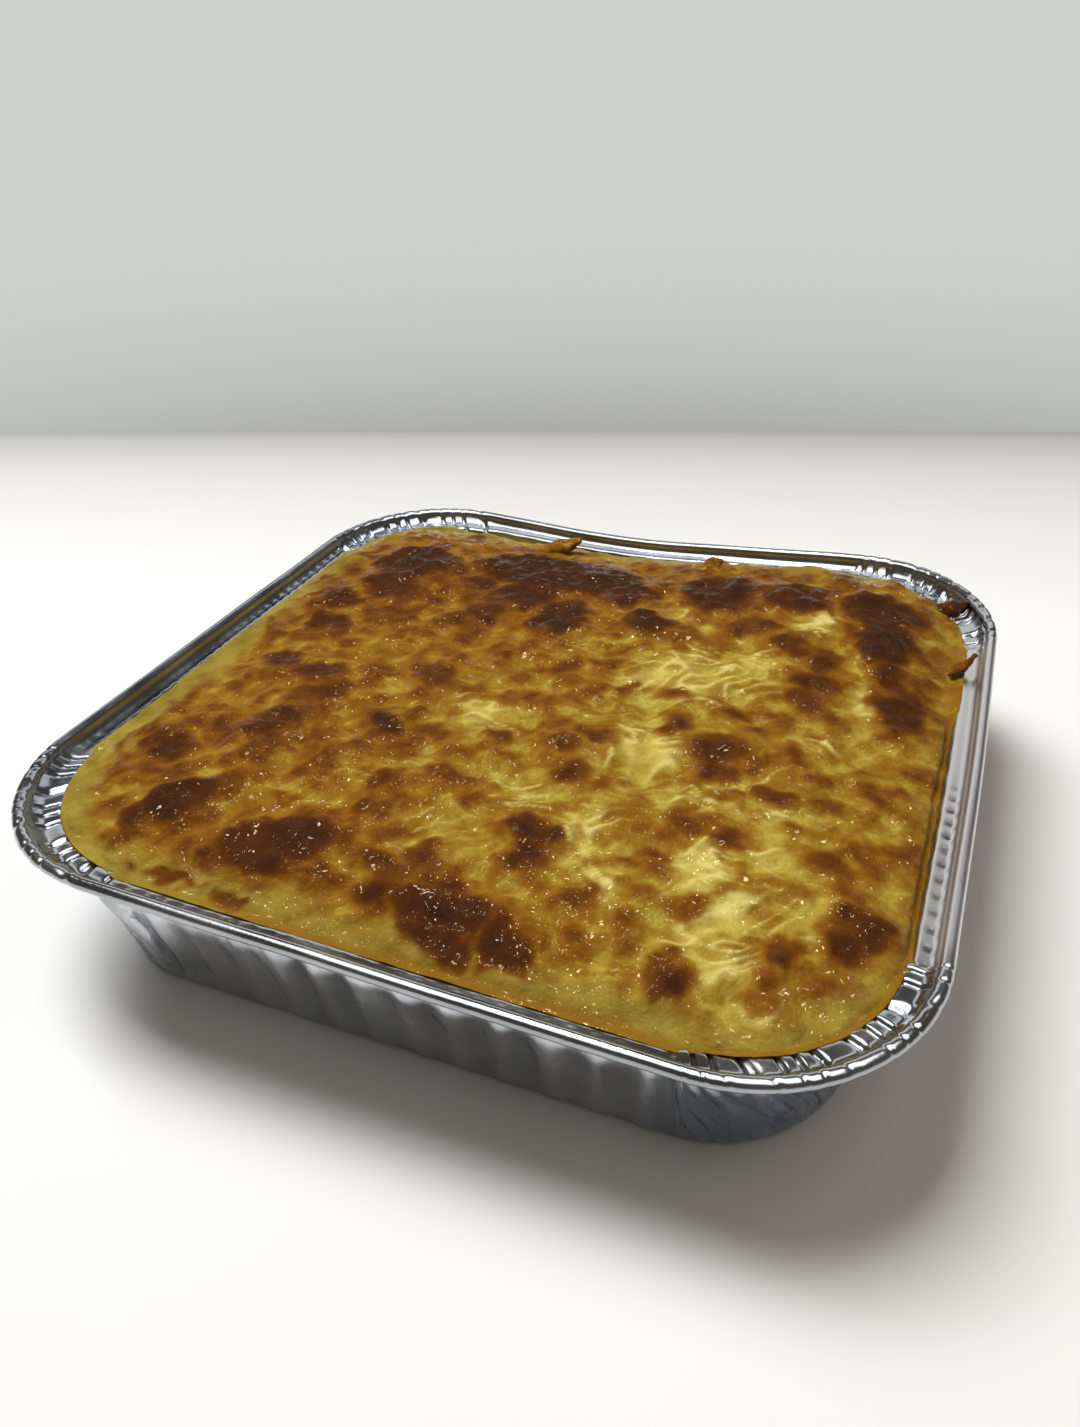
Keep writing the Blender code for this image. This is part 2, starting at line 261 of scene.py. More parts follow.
# Browned places, in millimetres and degrees: middle x, middle y, half length, half width, turn, tone, rise.
# A tone of 1 is nearly black brown, 0.5 is orange brown.
BROWNED = (
    (-22, 62, 28, 14, 0, 1.0, 1.6),
    (-51, 66, 6, 4, 0, 0.7, 0.6),
    (-25, 43, 11, 9, 20, 0.93, 1.2),
    (-67, 54, 13, 15, 0, 0.98, 1.5),
    (-66, 37, 12, 8, -15, 0.88, 1.0),
    (-78, 25, 11, 6.5, -20, 0.84, 0.9),
    (-42, 47, 8, 5, 0, 0.86, 0.8),
    (-56, 23, 8, 5, 0, 0.74, 0.6),
    (-32, 29, 7, 7, 0, 0.86, 1.0),
    (-11, 33, 9, 12, 0, 1.0, 1.5),
    (-73, 12, 9, 5.5, -35, 0.88, 1.3),
    (-50, 12, 4, 7, 0, 0.7, 0.6),
    (-40, 21, 6, 4, 0, 0.74, 0.5),
    (-14, 15, 5, 4.5, 0, 0.62, 0.8),
    (-2, 8, 5, 5, 0, 0.75, 0.8),
    (-31, 4, 4, 4, 0, 0.62, 0.5),
    (-86, 37, 6, 3.5, 0, 0.5, 0.4),
    (-93, 9, 3, 3, 0, 0.72, 0.9),
    (-93.5, -0.5, 2.4, 2.4, 0, 0.7, 0.9),
    (-64, 73, 1.8, 5, 15, 0.62, 0.3),
    (-54, 71, 1.8, 6, 15, 0.66, 0.3),
    (-76, 66, 1.6, 5, 25, 0.55, 0.3),
    (-86, 52, 3, 8, 15, 0.5, 0.3),
    (3, 54, 8, 10, 0, 0.95, 1.4),
    (11, 71, 3, 6, -10, 0.66, 0.7),
    (27, 63, 12.5, 14, 0, 0.96, 1.7),
    (36, 68, 5, 6, -20, 0.85, 1.0),
    (50, 66, 11, 10, 0, 0.94, 1.6),
    (74, 66, 12, 10, 0, 0.97, 1.7),
    (77, 49, 8, 14, 0, 0.98, 1.5),
    (79, 33, 5.5, 9, 5, 0.88, 1.1),
    (67, 53, 4, 6, 0, 0.62, 0.7),
    (86, 45, 4, 3.5, 0, 0.74, 0.7),
    (84, 19, 7, 12, 0, 0.9, 1.2),
    (53, 39, 5, 6, 0, 0.88, 1.4),
    (40, 45, 9, 7, 0, 0.7, 0.7),
    (62, 33, 6, 8, 15, 0.8, 0.9),
    (63, 22, 7.5, 6, 0, 0.78, 0.6),
    (63, 14, 6, 6, 0, 0.76, 0.8),
    (14, 37, 8.5, 6, -5, 0.96, 2.0),
    (25, 35, 4, 3, -15, 0.8, 0.8),
    (7.5, 28, 4.5, 4, 0, 0.62, 0.7),
    (69.5, 8, 4.5, 4, 0, 0.7, 0.9),
    (48, 2, 3.5, 3, 0, 0.72, 0.7),
    (20, 4, 1.8, 2.6, 0, 0.78, 0.5),
    (30, 6, 6, 3, 0, 0.62, 0.6),
    (93.5, 24, 1.8, 3.5, 0, 0.62, 0.4),
    (50, 85, 3.5, 2.5, 0, 0.78, 0.6),
    (62, 78, 4.5, 5, 0, 0.66, 0.6),
    (20, 80, 4, 5, 0, 0.55, 0.4),
    (-73, -13, 7.5, 6, 0, 0.9, 1.3),
    (-60, -15, 9, 5.5, 0, 0.8, 1.0),
    (-41.5, -9.5, 3, 2.6, 0, 0.8, 0.6),
    (-29, -7, 10, 4.6, -50, 0.78, 1.0),
    (-36, -3, 6, 4, -20, 0.66, 0.7),
    (-4, -8, 3, 3.6, 0, 0.95, 1.0),
    (-31, -32, 8, 4.8, -30, 0.98, 1.6),
    (-18, -31, 7, 4, -15, 0.68, 0.9),
    (-4, -26, 5, 3, -10, 0.68, 0.8),
    (-52, -24, 8, 5, 10, 0.76, 0.7),
    (-58, -27, 5, 4, 0, 0.66, 0.6),
    (-50, -31, 6, 3, -30, 0.66, 0.6),
    (-57, -38, 8, 7, 0, 0.84, 1.0),
    (-57, -44, 7, 6, -10, 0.86, 1.0),
    (-49, -48, 4.5, 2.2, -10, 0.76, 0.6),
    (-35, -43, 3.5, 3, 0, 0.74, 0.6),
    (-39, -48, 3, 3, 0, 0.7, 0.5),
    (-20, -51, 5, 5, 0, 0.78, 0.9),
    (-10, -45, 6, 2.5, -15, 0.7, 0.7),
    (-1, -50, 3.5, 2.5, 0, 0.72, 0.5),
    (-77, -55, 9.5, 6, -30, 0.9, 1.2),
    (-86, -49, 5, 3.2, 0, 0.72, 0.9),
    (-90, -51, 2.4, 4.5, 0, 0.66, 0.6),
    (-85, -42, 4.5, 1.7, -15, 0.76, 0.5),
    (-69, -45, 2.6, 4.8, 10, 0.76, 0.6),
    (-74, -65, 6, 4, -40, 0.7, 0.8),
    (-53, -56, 6, 3.6, -15, 0.68, 0.7),
    (-60.5, -73.5, 12, 6.2, 58, 0.97, 1.9),
    (-41, -64.5, 5, 1.8, 12, 0.68, 0.4),
    (-19, -62.5, 3.2, 4, 0, 0.78, 0.7),
    (-12, -67, 5, 5, 0, 0.64, 0.6),
    (-30, -75, 14, 6.5, 18, 0.94, 1.5),
    (-8, -76, 8, 3.6, -10, 0.8, 1.0),
    (-36, -82, 12, 6, -3, 0.93, 1.5),
    (-20, -82.5, 7, 2.5, 0, 0.8, 0.9),
    (-6, -83.5, 6, 4.2, -10, 0.92, 1.2),
    (-61, -93, 2.6, 2.2, 0, 0.76, 0.6),
    (-49, -93, 12, 3, 0, 0.7, 0.5),
    (-33, -95, 5.6, 2.2, 0, 0.74, 0.6),
    (-75, -77, 4, 1.5, -10, 0.62, 0.3),
    (35, -7, 3.3, 5.2, 10, 0.84, 1.0),
    (54, -4, 4.5, 3.6, 0, 0.76, 0.9),
    (64, -10, 4, 3.3, 0, 0.7, 0.9),
    (70.5, -15.5, 3, 3, 0, 0.72, 0.9),
    (83, -16, 4.6, 4.6, 0, 0.78, 0.8),
    (47, -14.5, 7.5, 6, 0, 0.82, 1.1),
    (48, -22, 6.5, 5.5, 30, 0.86, 1.1),
    (58, -15, 5.5, 2.2, 30, 0.66, 0.5),
    (62.5, -26, 5, 3.6, -20, 0.84, 1.1),
    (54, -30, 7, 1.7, 28, 0.66, 0.5),
    (73.5, -24, 3.6, 3, 0, 0.74, 0.8),
    (69, -36, 3.6, 2.4, 0, 0.58, 0.4),
    (5, -17.5, 3.4, 2.4, 0, 0.7, 0.5),
    (17, -18, 5, 3.2, 0, 0.76, 0.6),
    (12, -25, 5.5, 5, 0, 0.76, 0.9),
    (17, -34, 3.5, 5.6, 0, 0.86, 1.1),
    (25, -36, 3.2, 2.8, 0, 0.76, 0.9),
    (34.5, -37, 2.6, 2.2, 0, 0.56, 0.5),
    (46, -44, 6, 5, 0, 0.66, 0.7),
    (57, -42, 5.5, 4, 0, 0.76, 0.8),
    (38.5, -47, 5, 1.4, 72, 0.62, 0.4),
    (78, -43, 7, 5.5, 0, 0.64, 0.7),
    (82, -48, 3.4, 4, 0, 0.64, 0.7),
    (70, -51, 3.2, 2.6, 0, 0.58, 0.5),
    (17, -56.5, 7.4, 5, -10, 0.9, 1.5),
    (18, -64, 4.4, 5.2, 0, 0.92, 1.3),
    (43.5, -54, 3, 2.6, 0, 0.8, 0.9),
    (38, -58, 3.5, 2.5, 0, 0.7, 0.6),
    (45, -58.5, 4, 3, 0, 0.6, 0.5),
    (87, -57, 7.5, 6.5, 0, 0.8, 1.2),
    (92.6, -55.5, 2, 2.2, 0, 0.86, 0.8),
    (85, -63, 6, 6.5, 0, 0.86, 1.2),
    (47, -64, 2.6, 2, 0, 0.6, 0.4),
    (54, -66, 3.6, 3, 0, 0.68, 0.7),
    (32, -72, 7, 2.8, 15, 0.76, 0.9),
    (44, -74, 4, 2.8, 0, 0.62, 0.6),
    (74, -71, 5, 4.4, 0, 0.76, 1.0),
    (55.5, -84, 5.6, 4, -50, 0.99, 1.7),
    (9, -83, 12, 6, -5, 0.96, 1.9),
    (12, -90, 9, 5.5, -10, 0.94, 1.6),
    (24, -87.5, 8, 4.6, -60, 0.92, 1.3),
    (0, -72, 4, 6, 0, 0.76, 0.8),
    (6, -77, 7, 3, -10, 0.9, 1.0),
    (69, -81, 3, 2, 0, 0.58, 0.4),
)

# Pale melted cheese, in millimetres: middle x, middle y, half length, half width, turn, tone. One small
# spot is also a painted highlight.
PALE = (
    (32, 15, 17, 14, 20, 0.55),
    (46, 26, 4, 6, 10, 0.75),
    (58, 52, 7, 3.6, 25, 0.8),
    # Pale cheese, brightest at this small spot, which is a painted highlight.
    (61, 53, 2, 1.6, 0, 1.0),
    (24, 45, 4, 2, -20, 0.7),
    (70, 34, 4, 6, 20, 0.5),
    (74, 18, 4, 7, 0, 0.55),
    (-10, -20, 9, 6, -35, 0.6),
    (-22, -47, 8, 3, 40, 0.4),
    (-7, -65, 7, 9, 0, 0.35),
    (8, -44, 7, 6, 0, 0.5),
    (31, -20, 8, 10, 0, 0.6),
    (46, -34, 5, 1.6, 12, 0.95),
    (55, -25, 8, 2.2, 40, 0.7),
    (66, -31, 7, 4, 30, 0.6),
    (65, -45, 4, 5, 10, 0.75),
    (52, -54, 8, 6, 30, 0.7),
    (62, -65, 5, 5, 0, 0.95),
    (36, -66, 2.4, 5, 35, 0.85),
    (28, -52, 5, 9, 10, 0.6),
    (60, -76, 9, 5, -20, 0.6),
    (76, -62, 6, 8, 0, 0.45),
    (71, -86, 6, 4, -20, 0.5),
    (70, -3, 4, 4, 0, 0.5),
    (28, -13, 5, 5, 0, 0.6),
)

FLAKE_RINGS = 16
FLAKE_STEPS = 28
FLAKE_LUMPS = 0.9 * MM
FLAKE_GRAIN = 0.45 * MM
FLAKE_LUMP_SIZE = 3.2 * MM
FLAKE_GRAIN_SIZE = 1.1 * MM
FLAKE_SHADE_SIZE = 2.4 * MM
FLAKE_SHADE = 0.35
FLAKE_SEED = 11

# Crust flakes that stand over the edge, in millimetres: name, foot, tip, width, thickness and tone
FLAKES = (
    ("flake_back", (-39, 83, 34.0), (-24, 87.5, 41.0), 9, 7, 0.36),
    ("flake_back_right", (22, 80.5, 33.2), (22.5, 87, 40.6), 29, 9, 0.33),
    ("flake_back_peak", (19.5, 82, 35.5), (21, 87.5, 42.2), 11, 6, 0.42),
    ("flake_right", (94.5, 44.5, 39), (99.6, 50, 43), 3.6, 2.4, 0.6),
    ("flake_corner", (87, 78, 37.5), (95, 82.5, 41.6), 9, 5, 0.84),
)

# Camera, floor and backdrop
CAMERA_PLACE = (90.115 * MM, -224.08 * MM, 193.771 * MM)
CAMERA_YAW = math.radians(-22.726)
CAMERA_PITCH = math.radians(33.568)
CAMERA_ROLL = math.radians(-1.548)
CAMERA_LENS = 28.06
CAMERA_SENSOR = 36
FLOOR_BACK_LEFT = (-389.6 * MM, 196.8 * MM)
FLOOR_BACK_RIGHT = (134.4 * MM, 369.2 * MM)
FLOOR_HALF_WIDTH = 4
FLOOR_LENGTH = 5

# Lamps: name, place, width, height, watts and colour
FOIL_WHITE = (1.0, 0.99, 0.96)
GOLDEN = (1.0, 0.84, 0.52)
SOFT_LAMPS = (
    ("key", (-0.8, 0.27, 1.8), 0.75, 1.3, 50, (1.0, 0.995, 0.98)),
    ("fill", (1.1, 0.0, 1.6), 2.4, 2.0, 10.0, (1.0, 0.84, 0.66)),
)
FOOD_LAMPS = (
    ("food_spark_0", (-0.7, 0.5, 1.6), 0.14, 0.14, 2.4, GOLDEN),
    ("food_spark_1", (0.35, 0.45, 1.6), 0.12, 0.12, 2.2, GOLDEN),
    ("food_spark_2", (-0.3, 0.9, 1.3), 0.06, 0.06, 1.0, GOLDEN),
    ("food_sheen", (-0.5, 0.9, 1.2), 0.5, 0.3, 0.08, (1.0, 0.85, 0.6)),
)
FOIL_LAMPS = (
    ("foil_spark", (-0.25, 0.25, 1.45), 0.12, 0.12, 3, FOIL_WHITE),
    ("foil_ceiling", (0.02, -0.05, 1.5), 2.0, 1.3, 22, FOIL_WHITE),
    ("foil_back", (-0.5, 1.25, 0.8), 2.2, 0.5, 3.6, FOIL_WHITE),
)


def smooth_step(value, start, end):
    """0 before the start, 1 past the end, and a soft rise between them."""
    share = np.clip((value - start) / (end - start), 0, 1)
    return share * share * (3 - 2 * share)


def noise_at(x, y, layer, size):
    """Smooth noise from -1 to 1, with lumps of about this size. Each layer number is another pattern."""
    places = zip((x / size).tolist(), (y / size).tolist())
    return np.array([noise.noise((a, b, layer)) for a, b in places])


def ridges_at(x, y, layer, size):
    """1 on thin winding lines and less between them."""
    return 1 - np.abs(noise_at(x, y, layer, size)) * 2


def domes_at(x, y, layer, size):
    """Round lumps of about this size, 1 at their tops and near 0 in the creases between them."""
    places = zip((x / size).tolist(), (y / size).tolist())
    return np.array([1 - noise.voronoi((a, b, layer))[0][0] * 1.3 for a, b in places])


def bend_share(along, middle, towards):
    """How much of an edge's bend reaches a point: all at its middle on that edge, less farther off."""
    return np.exp(-(((along - middle) / BEND_LENGTH) ** 2) - ((towards - 1) / BEND_DEPTH) ** 2)


def handled(x, y, z):
    """Where points of the tray went when it was bent. The floor and its rounded heel stay put."""
    across = x / (RIM_SIDE / 2)
    back = y / (RIM_SIDE / 2)
    grip = np.maximum(z - BEND_FOOT, 0) / (BEAD_LEVEL - BEND_FOOT)
    dent = bend_share(across, BACK_DENT_MIDDLE, back)
    swell = bend_share(back, RIGHT_SWELL_MIDDLE, across)
    lift = RIM_TWIST * across * back - BACK_DROP * dent
    corner = np.hypot(across - CORNER_MIDDLE, back - CORNER_MIDDLE) / CORNER_REACH
    push = CORNER_PUSH * np.exp(-(corner**2)) * np.sqrt(np.sin(math.pi * np.minimum(grip, 1)))
    return x + push + grip * RIGHT_BOW * swell, y + push - grip * BACK_BOW * dent, z + grip * lift


# Materials


def link(tree, source, target):
    tree.links.new(source, target)


def new_node(tree, kind, settings=(), values=()):
    """A shader node with its settings and the values of its unlinked sockets."""
    node = tree.nodes.new(kind)
    for name, value in dict(settings).items():
        setattr(node, name, value)
    for name, value in dict(values).items():
        node.inputs[name].default_value = value
    return node


def new_ramp(tree, source, stops):
    """A colour ramp that the source drives. A stop is its place and its linear colour."""
    ramp = new_node(tree, "ShaderNodeValToRGB")
    elements = ramp.color_ramp.elements
    while len(elements) < len(stops):
        elements.new(1)
    for element, (place, colour) in zip(elements, stops):
        element.position = place
        element.color = (*colour, 1)
    link(tree, source, ramp.inputs["Fac"])
    return ramp


def grey(level):
    return (level, level, level)


def new_noise(tree, source, size, detail, roughness=0.5):
    """Noise whose lumps measure about this size."""
    values = {"Scale": 1 / size, "Detail": detail, "Roughness": roughness}
    node = new_node(tree, "ShaderNodeTexNoise", values=values)
    link(tree, source, node.inputs["Vector"])
    return node


def math_node(tree, operation, first, second):
    """The result of a sum on two sockets or numbers."""
    node = new_node(tree, "ShaderNodeMath", {"operation": operation})
    for socket, value in zip(node.inputs, (first, second)):
        if isinstance(value, (int, float)):
            socket.default_value = value
        else:
            link(tree, value, socket)
    return node.outputs[0]


def mix_colours(tree, share, first, second, blend="MIX"):
    """The second colour over the first by a share from 0 to 1."""
    node = new_node(tree, "ShaderNodeMix", {"data_type": "RGBA", "blend_type": blend})
    sockets = (node.inputs[0], node.inputs[6], node.inputs[7])
    for socket, value in zip(sockets, (share, first, second)):
        if isinstance(value, (int, float, tuple)):
            socket.default_value = value
        else:
            link(tree, value, socket)
    return node.outputs[2]


def new_material(name):
    """A material with its tree, its shader and the object's own coordinates."""
    material = bpy.data.materials.new(name)
    material.use_nodes = True
    tree = material.node_tree
    shader = tree.nodes["Principled BSDF"]
    place = new_node(tree, "ShaderNodeTexCoord").outputs["Object"]
    return material, tree, shader, place


def attribute(tree, name):
    """A number that the mesh carries at each of its points."""
    return new_node(tree, "ShaderNodeAttribute", {"attribute_name": name}).outputs["Fac"]


def add_bump(tree, shader, height, distance, strength, normal="Normal"):
    """Fine relief from a height, on the shader's base or on the normal named."""
    bump = new_node(tree, "ShaderNodeBump", values={"Distance": distance, "Strength": strength})
    link(tree, height, bump.inputs["Height"])
    link(tree, bump.outputs["Normal"], shader.inputs[normal])


FOIL_HAZE_SIZE = 14 * MM
FOIL_GRAIN_SIZE = 1.2 * MM
FOIL_GRAIN_DEPTH = 0.05 * MM
FOIL_ROUGHNESS = ((0.35, grey(0.14)), (0.65, grey(0.26)))
FOIL_TONES = ((0.3, (0.35, 0.375, 0.41)), (0.7, (0.47, 0.495, 0.53)))
# Rubbed foil: rougher, and painted lighter as a highlight
RUBBED_ROUGHNESS = (0.42, 0.42, 0.42, 1)
RUBBED_PAINTED_SHEEN_COLOUR = (0.82, 0.83, 0.84, 1)
# Painted cool shade and reflection, multiplied into the foil's colour
PAINTED_COOL_SHADE_COLOUR = (0.54, 0.65, 0.84, 1)


def foil_material():
    """Thin aluminium with rolling haze, rubbed ribs painted lighter as highlights, painted cool shade and
    reflection, and fine crinkles.
    """
    material, tree, shader, place = new_material("foil")
    haze = new_noise(tree, place, FOIL_HAZE_SIZE, 5)
    grain = new_noise(tree, place, FOIL_GRAIN_SIZE, 3)
    # Rubbed places are rougher and painted lighter: partly real rubbing, partly painted highlight.
    rubbed_and_painted_sheen = attribute(tree, "rubbed_and_painted_sheen")
    tones = new_ramp(tree, haze.outputs["Fac"], FOIL_TONES).outputs["Color"]
    colour = mix_colours(tree, rubbed_and_painted_sheen, tones, RUBBED_PAINTED_SHEEN_COLOUR)
    # Painted cool shade and reflection: darker and bluer on the lower front-right wall and on the left rim.
    colour = mix_colours(tree, attribute(tree, "painted_cool_shade"), colour, PAINTED_COOL_SHADE_COLOUR, "MULTIPLY")
    link(tree, colour, shader.inputs["Base Color"])
    rough = new_ramp(tree, haze.outputs["Fac"], FOIL_ROUGHNESS).outputs["Color"]
    link(tree, mix_colours(tree, rubbed_and_painted_sheen, rough, RUBBED_ROUGHNESS), shader.inputs["Roughness"])
    shader.inputs["Metallic"].default_value = 1.0
    add_bump(tree, shader, grain.outputs["Fac"], FOIL_GRAIN_DEPTH, 0.6)
    return material


# Colours of the bake by how far it is browned
BAKE_TONES = (
    (0.0, (0.50, 0.41, 0.085)),
    (0.16, (0.365, 0.26, 0.034)),
    (0.3, (0.26, 0.137, 0.011)),
    (0.44, (0.20, 0.078, 0.005)),
    (0.58, (0.13, 0.042, 0.004)),
    (0.76, (0.075, 0.021, 0.004)),
    (1.0, (0.037, 0.0125, 0.005)),
)
CREAM_COLOUR = (0.68, 0.60, 0.195, 1)
MASH_TONES = ((0.3, (0.20, 0.138, 0.015)), (0.7, (0.32, 0.246, 0.040)))
OIL_COLOUR = (0.22, 0.10, 0.006, 1)
BAKE_ROUGHNESS = ((0.3, grey(0.38)), (0.7, grey(0.55)))
MOTTLE_SIZE = 4.5 * MM
MOTTLE_SHARE = 0.45
SPECK_SIZE = 1.15 * MM
SPECK_SHARE = 0.14
SPECK_DEPTH = 0.5 * MM
SHADE_SIZE = 9 * MM
WET_SIZE = 2.0 * MM
WET_DEPTH = 0.9 * MM
WET_CLUSTER_SIZE = 6 * MM
WET_CLUSTERS = ((0.45, grey(0.2)), (0.65, grey(1.0)))


def centred(tree, source, share):
    """A noise moved to lie about zero, times a share."""
    return math_node(tree, "MULTIPLY", math_node(tree, "SUBTRACT", source.outputs["Fac"], 0.5), share)


def bake_material():
    """Melted cheese over yellow mash, from cream through gold to dark brown, glossy with fat."""
    material, tree, shader, place = new_material("browned_bake")
    mottle = new_noise(tree, place, MOTTLE_SIZE, 3, 0.45)
    speck = new_noise(tree, place, SPECK_SIZE, 1)
    wide = new_noise(tree, place, SHADE_SIZE, 2)
    browned = attribute(tree, "browned")
    spread = centred(tree, mottle, MOTTLE_SHARE)
    specks = centred(tree, speck, SPECK_SHARE)
    level = math_node(tree, "ADD", math_node(tree, "ADD", browned, spread), specks)
    crust = new_ramp(tree, level, BAKE_TONES).outputs["Color"]
    mash = new_ramp(tree, wide.outputs["Fac"], MASH_TONES).outputs["Color"]
    colour = mix_colours(tree, attribute(tree, "mash"), crust, mash)
    colour = mix_colours(tree, attribute(tree, "cream"), colour, CREAM_COLOUR)
    colour = mix_colours(tree, attribute(tree, "oil"), colour, OIL_COLOUR)
    link(tree, colour, shader.inputs["Base Color"])
    rough = new_ramp(tree, wide.outputs["Fac"], BAKE_ROUGHNESS)
    link(tree, rough.outputs["Color"], shader.inputs["Roughness"])
    shader.inputs["Subsurface Weight"].default_value = 0.15
    shader.inputs["Subsurface Radius"].default_value = (1.0, 0.45, 0.12)
    shader.inputs["Subsurface Scale"].default_value = 1.6 * MM
    shader.inputs["Specular IOR Level"].default_value = 0.06
    shader.inputs["Coat Weight"].default_value = 0.5
    shader.inputs["Coat Roughness"].default_value = 0.08
    add_bump(tree, shader, speck.outputs["Fac"], SPECK_DEPTH, 0.7)
    wet = new_noise(tree, place, WET_SIZE, 1)
    clusters = new_noise(tree, place, WET_CLUSTER_SIZE, 1)
    reach = new_ramp(tree, clusters.outputs["Fac"], WET_CLUSTERS)
    ripple = math_node(tree, "MULTIPLY", wet.outputs["Fac"], reach.outputs["Color"])
    add_bump(tree, shader, ripple, WET_DEPTH, 0.9, "Coat Normal")
    return material


# Shapes


def add_layers(mesh, layers):
    """Numbers from 0 to 1 that the mesh carries at each of its points."""
    for name, values in layers.items():
        layer = mesh.attributes.new(name, "FLOAT", "POINT")
        layer.data.foreach_set("value", np.clip(values, 0, 1).astype(np.float32))


def new_piece(name, mesh, material):
    """A piece of the meal that stays where it was made."""
    made = bpy.data.objects.new(name, mesh)
    bpy.context.scene.collection.objects.link(made)
    mesh.materials.append(material)
    mesh.polygons.foreach_set("use_smooth", [True] * len(mesh.polygons))
    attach(made, "root")
    return made


def rim_places(inset, stations):
    """Points of the rounded square at these insets. The stations run anticlockwise from the right."""
    quarter = np.floor(stations / QUARTER_STEPS)
    step = stations - quarter * QUARTER_STEPS
    radius = RIM_CORNER - CORNER_SHRINK * inset
    middle = RIM_SIDE / 2 - inset - radius
    angle = math.pi / 2 * np.maximum(step - SIDE_STEPS, 0) / CORNER_STEPS
    along = middle * np.minimum(2 * step / SIDE_STEPS - 1, 1)
    x = middle + radius * np.cos(angle)
    y = along + radius * np.sin(angle)
    turn = quarter * math.pi / 2
    return x * np.cos(turn) - y * np.sin(turn), x * np.sin(turn) + y * np.cos(turn)


def foil_path():
    """The underside of the foil from floor to groove: inset and level."""
    return (
        (FLOOR_INSET, 0),
        HEEL,
        WALL_FOOT,
        WALL_MIDDLE,
        WALL_HEAD,
        (FLANGE_INSET, FLANGE_LEVEL),
        (GROOVE_INSET, FLANGE_LEVEL),
    )


def offset_path(path, distance):
    """The path moved into the tray by a distance, with mitred bends. It starts on the flat floor."""
    moved = []
    normals = [Vector((0, 1))]
    for start, end in zip(path, path[1:]):
        run = Vector(end) - Vector(start)
        normals.append(Vector((run.y, -run.x)).normalized())
    normals.append(normals[-1])
    for (inset, level), before, after in zip(path, normals, normals[1:]):
        normal = (before + after).normalized()
        reach = distance / normal.dot(before)
        moved.append((inset + reach * normal.x, level + reach * normal.y))
    return moved


def rounded_path(path):
    """The path with its bends rounded."""
    rounded = [Vector(path[0])]
    for before, here, after in zip(path, path[1:], path[2:]):
        here = Vector(here)
        back = Vector(before) - here
        on = Vector(after) - here
        reach = min(BEND_REACH, back.length / 2, on.length / 2)
        start = here + back.normalized() * reach
        end = here + on.normalized() * reach
        for step in range(BEND_STEPS + 1):
            share = step / BEND_STEPS
            rounded.append(start.lerp(here, share).lerp(here.lerp(end, share), share))
    rounded.append(Vector(path[-1]))
    return rounded


def cut_path(path, spacing, from_level, to_level):
    """The path with its runs between two levels cut to about this spacing."""
    fine = [path[0]]
    for start, end in zip(path, path[1:]):
        inside = from_level <= start.y and end.y <= to_level
        pieces = max(round((end - start).length / spacing), 1) if inside else 1
        fine += [start.lerp(end, (piece + 1) / pieces) for piece in range(pieces)]
    return fine


def bead_path():
    """The rolled edge, from the groove over the top and round to its underside."""
    path = []
    for step in range(BEAD_STEPS + 1):
        angle = BEAD_TURN * step / BEAD_STEPS
        inset = BEAD_RADIUS * (1 + math.cos(angle))
        path.append(Vector((inset, BEAD_LEVEL + BEAD_RADIUS * math.sin(angle))))
    return path


def corner_share(stations):
    """0 on the straight sides and 1 on the corners, with a soft change between."""
    step = stations % QUARTER_STEPS
    begun = smooth_step(step, SIDE_STEPS - 0.6, SIDE_STEPS + 0.8)
    return begun * smooth_step(QUARTER_STEPS - step, -0.6, 0.6)


def flutes(stations):
    """In and out in turn, each flute of a wall with its own depth, gone at the corners."""
    x, y = rim_places(np.zeros(len(stations)), stations)
    depth = FLUTE_DEPTH * (1 + FLUTE_UNEVEN * noise_at(x, y, 0, FLUTE_SCALE))
    return -np.cos(math.pi * stations) * depth * (1 - corner_share(stations))


def pleats(stations, inset):
    """Folds of a corner: slats that each tilt their own way, with narrow slots between them."""
    step = stations % QUARTER_STEPS - SIDE_STEPS
    phase = step / CORNER_STEPS * CORNER_PLEATS + inset / PLEAT_LEAN
    phase = phase + PLEAT_UNEVEN * np.sin(stations * 1.3)
    saw = phase - np.floor(phase)
    slot = np.exp(-((np.minimum(saw, 1 - saw) / PLEAT_SLOT) ** 2))
    inner = smooth_step(np.minimum(step, CORNER_STEPS - step), -0.5, 3)
    tilt = PLEAT_TILT * inner * noise_at(np.floor(phase), stations * 0, 3.3, 1.9)
    return (tilt * (saw - 0.5) - PLEAT_SLOT_DEPTH * slot) * corner_share(stations)


def streaks(stations, level, layer, size):
    """Noise from -1 to 1 drawn out up and down a wall, upright on the sides and leaning at the corners."""
    along = ((stations - STREAK_START) % (4 * QUARTER_STEPS)) * STATION_LENGTH
    lean = STREAK_LEAN * corner_share(stations) * level
    ends = smooth_step(np.abs(stations - STREAK_START), 0, 1)
    return noise_at(along + lean, np.full(len(stations), level * STREAK_STRETCH), layer, size) * ends


